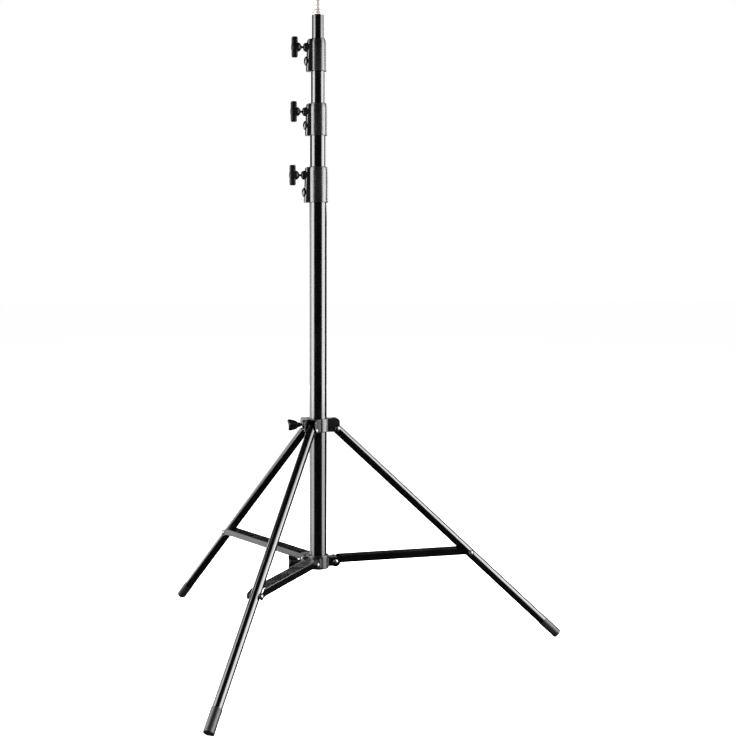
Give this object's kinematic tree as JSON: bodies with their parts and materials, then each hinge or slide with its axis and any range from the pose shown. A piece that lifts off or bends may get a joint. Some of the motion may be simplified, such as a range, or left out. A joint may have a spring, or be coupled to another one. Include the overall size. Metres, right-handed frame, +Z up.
{
  "type": "telescopic lighting stand",
  "caption": "Tall telescopic lighting stand with clamp collars and T-knobs on a folding braced tripod base, topped by a bright spigot for a lamp head.",
  "frame": {"origin": "on the floor, on the axis of the column, midway between the feet", "axes": "+Z up along the column; +X along the first leg; all knobs point along -X"},
  "size_m": [0.7881, 0.9068, 1.309],
  "materials": {
    "anodised_black": "gloss black anodised and painted aluminium tube",
    "cast_black": "black enamelled casting",
    "sheet_black": "black painted pressed sheet steel",
    "knob_plastic": "moulded black plastic",
    "foot_rubber": "black moulded rubber",
    "plug_plastic": "black moulded plastic",
    "guide_plastic": "natural acetal",
    "bright_steel": "bright nickel plated steel",
    "screw_steel": "zinc plated steel",
    "shoe_brass": "turned brass",
    "spring_steel": "spring steel wire"
  },
  "bodies": {
    "column": {"main_tube": "anodised_black", "column_plug": "plug_plastic", "lower_collar": "cast_black", "brace_inner_rivets": "bright_steel", "lower_shoe": "shoe_brass", "cushion_spring_1": "spring_steel", "lock_collar_1": "cast_black", "clamp_shoe_1": "shoe_brass", "collar_bolt_1": "cast_black"},
    "leg_collar": {"leg_yoke": "cast_black", "yoke_shoe": "shoe_brass", "yoke_rivets": "bright_steel"},
    "brace_arm_1": {"brace_1": "sheet_black"},
    "leg_1": {"leg_tube_1": "anodised_black", "leg_plug_1": "plug_plastic", "foot_cap_1": "foot_rubber", "brace_rivet_1": "bright_steel", "brace_spacers_1": "plug_plastic"},
    "brace_arm_2": {"brace_2": "sheet_black"},
    "leg_2": {"leg_tube_2": "anodised_black", "leg_plug_2": "plug_plastic", "foot_cap_2": "foot_rubber", "brace_rivet_2": "bright_steel", "brace_spacers_2": "plug_plastic"},
    "brace_arm_3": {"brace_3": "sheet_black"},
    "leg_3": {"leg_tube_3": "anodised_black", "leg_plug_3": "plug_plastic", "foot_cap_3": "foot_rubber", "brace_rivet_3": "bright_steel", "brace_spacers_3": "plug_plastic"},
    "riser_1": {"riser_tube_1": "anodised_black", "riser_foot_1": "guide_plastic", "cushion_spring_2": "spring_steel", "lock_collar_2": "cast_black", "clamp_shoe_2": "shoe_brass", "collar_bolt_2": "cast_black"},
    "riser_2": {"riser_tube_2": "anodised_black", "riser_foot_2": "guide_plastic", "cushion_spring_3": "spring_steel", "lock_collar_3": "cast_black", "clamp_shoe_3": "shoe_brass", "collar_bolt_3": "cast_black"},
    "riser_3": {"riser_tube_3": "anodised_black", "riser_foot_3": "guide_plastic", "spigot_plug": "bright_steel", "spigot": "bright_steel"},
    "knob_1": {"t_knob_1": "knob_plastic", "t_screw_1": "screw_steel"},
    "knob_2": {"t_knob_2": "knob_plastic", "t_screw_2": "screw_steel"},
    "knob_3": {"t_knob_3": "knob_plastic", "t_screw_3": "screw_steel"},
    "yoke_knob": {"yoke_wing_knob": "knob_plastic", "yoke_wing_screw": "screw_steel"},
    "lower_knob": {"lower_wing_knob": "knob_plastic", "lower_wing_screw": "screw_steel"}
  },
  "joints": [
    {"name": "leg_fold", "type": "slide", "parent": "column", "child": "leg_collar", "axis": [0, 0, 1], "range_m": [0, 0.40087]},
    {"name": "brace_hinge_1", "type": "hinge", "parent": "column", "child": "brace_arm_1", "pos_m": [0.034, 0, 0.1825], "axis": [0, -1, 0], "range_deg": [0, 87.1]},
    {"name": "leg_hinge_1", "type": "hinge", "parent": "brace_arm_1", "child": "leg_1", "pos_m": [0.32015, 0, 0.18952], "axis": [0, -1, 0], "range_deg": [-133.27, 0]},
    {"name": "brace_hinge_2", "type": "hinge", "parent": "column", "child": "brace_arm_2", "pos_m": [-0.017, 0.02944, 0.1825], "axis": [0.866, 0.5, 0], "range_deg": [0, 87.1]},
    {"name": "leg_hinge_2", "type": "hinge", "parent": "brace_arm_2", "child": "leg_2", "pos_m": [-0.16007, 0.27725, 0.18952], "axis": [0.866, 0.5, 0], "range_deg": [-133.27, 0]},
    {"name": "brace_hinge_3", "type": "hinge", "parent": "column", "child": "brace_arm_3", "pos_m": [-0.017, -0.02944, 0.1825], "axis": [-0.866, 0.5, 0], "range_deg": [0, 87.1]},
    {"name": "leg_hinge_3", "type": "hinge", "parent": "brace_arm_3", "child": "leg_3", "pos_m": [-0.16007, -0.27725, 0.18952], "axis": [-0.866, 0.5, 0], "range_deg": [-133.27, 0]},
    {"name": "riser_slide_1", "type": "slide", "parent": "column", "child": "riser_1", "axis": [0, 0, 1], "range_m": [0, 0.64]},
    {"name": "riser_slide_2", "type": "slide", "parent": "riser_1", "child": "riser_2", "axis": [0, 0, 1], "range_m": [0, 0.69]},
    {"name": "riser_slide_3", "type": "slide", "parent": "riser_2", "child": "riser_3", "axis": [0, 0, 1], "range_m": [0, 0.74]},
    {"name": "knob_turn_1", "type": "hinge", "parent": "column", "child": "knob_1", "pos_m": [-0.04, 0, 0.9645], "axis": [-1, 0, 0], "range_deg": [0, 540]},
    {"name": "knob_turn_2", "type": "hinge", "parent": "riser_1", "child": "knob_2", "pos_m": [-0.04, 0, 1.0895], "axis": [-1, 0, 0], "range_deg": [0, 540]},
    {"name": "knob_turn_3", "type": "hinge", "parent": "riser_2", "child": "knob_3", "pos_m": [-0.04, 0, 1.2155], "axis": [-1, 0, 0], "range_deg": [0, 540]},
    {"name": "yoke_knob_turn", "type": "hinge", "parent": "leg_collar", "child": "yoke_knob", "pos_m": [-0.05, 0, 0.464], "axis": [-1, 0, 0], "range_deg": [0, 540]},
    {"name": "lower_knob_turn", "type": "hinge", "parent": "column", "child": "lower_knob", "pos_m": [-0.05, 0, 0.1825], "axis": [-1, 0, 0], "range_deg": [0, 540]}
  ],
  "couplings": [
    {"joint": "brace_hinge_1", "follows": "leg_fold", "rad_per_m": 3.792},
    {"joint": "leg_hinge_1", "follows": "leg_fold", "rad_per_m": -5.8023},
    {"joint": "brace_hinge_2", "follows": "leg_fold", "rad_per_m": 3.792},
    {"joint": "leg_hinge_2", "follows": "leg_fold", "rad_per_m": -5.8023},
    {"joint": "brace_hinge_3", "follows": "leg_fold", "rad_per_m": 3.792},
    {"joint": "leg_hinge_3", "follows": "leg_fold", "rad_per_m": -5.8023}
  ]
}
